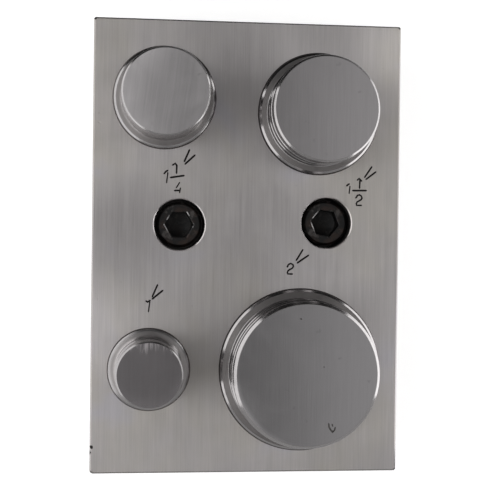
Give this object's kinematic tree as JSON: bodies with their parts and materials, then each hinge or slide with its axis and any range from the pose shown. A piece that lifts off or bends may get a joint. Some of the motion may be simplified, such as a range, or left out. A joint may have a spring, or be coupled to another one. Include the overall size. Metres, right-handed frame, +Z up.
{
  "type": "jewelers disc cutter",
  "caption": "Bench disc cutter: a steel guide plate screwed over a die plate, with round stepped punches standing in bores through both and a slot for sheet metal between them.",
  "frame": {"origin": "under the middle of the block, on the surface that it stands on", "axes": "+Z up, out of the guide plate and along every punch; +Y along the block's length, towards the 1 1/4 and 1 1/2 inch punches; +X to the right, with the 2 inch punch nearest"},
  "size_m": [0.097, 0.1416, 0.0508],
  "materials": {
    "ground_plate": "surface ground, brushed along the block's length",
    "punch_steel": "hardened, turned and polished, with ground ends",
    "black_oxide": "black oxide, oily",
    "spacer_steel": "ground strip",
    "dowel_steel": "hardened and ground"
  },
  "bodies": {
    "die_set": {"die_plate": "ground_plate", "spacer_strip": "spacer_steel", "dowel_pin_left": "dowel_steel", "dowel_pin_right": "dowel_steel"},
    "guide": {"guide_plate": "ground_plate"},
    "screw_left": {"cap_screw_left": "black_oxide"},
    "screw_right": {"cap_screw_right": "black_oxide"},
    "punch_1_in_body": {"punch_1_in": "punch_steel"},
    "punch_1_1_4_in_body": {"punch_1_1_4_in": "punch_steel"},
    "punch_1_1_2_in_body": {"punch_1_1_2_in": "punch_steel"},
    "punch_2_in_body": {"punch_2_in": "punch_steel"}
  },
  "joints": [
    {"name": "guide_lift", "type": "slide", "parent": "die_set", "child": "guide", "axis": [0, 0, 1], "range_m": [0, 0.00317]},
    {"name": "screw_left_turn", "type": "hinge", "parent": "guide", "child": "screw_left", "pos_m": [-0.0214, 0.0069, 0.03252], "axis": [0, 0, 1], "range_deg": [0, 720]},
    {"name": "screw_right_turn", "type": "hinge", "parent": "guide", "child": "screw_right", "pos_m": [0.0251, 0.008, 0.03252], "axis": [0, 0, 1], "range_deg": [0, 720]},
    {"name": "punch_1_in_slide", "type": "slide", "parent": "die_set", "child": "punch_1_in_body", "axis": [0, 0, 1], "range_m": [0, 0.04]},
    {"name": "punch_1_1_4_in_slide", "type": "slide", "parent": "die_set", "child": "punch_1_1_4_in_body", "axis": [0, 0, 1], "range_m": [0, 0.04]},
    {"name": "punch_1_1_2_in_slide", "type": "slide", "parent": "die_set", "child": "punch_1_1_2_in_body", "axis": [0, 0, 1], "range_m": [0, 0.04]},
    {"name": "punch_2_in_slide", "type": "slide", "parent": "die_set", "child": "punch_2_in_body", "axis": [0, 0, 1], "range_m": [0, 0.04]}
  ],
  "couplings": [
    {"joint": "screw_left_turn", "follows": "guide_lift", "rad_per_m": 3957.9},
    {"joint": "screw_right_turn", "follows": "guide_lift", "rad_per_m": 3957.9}
  ]
}
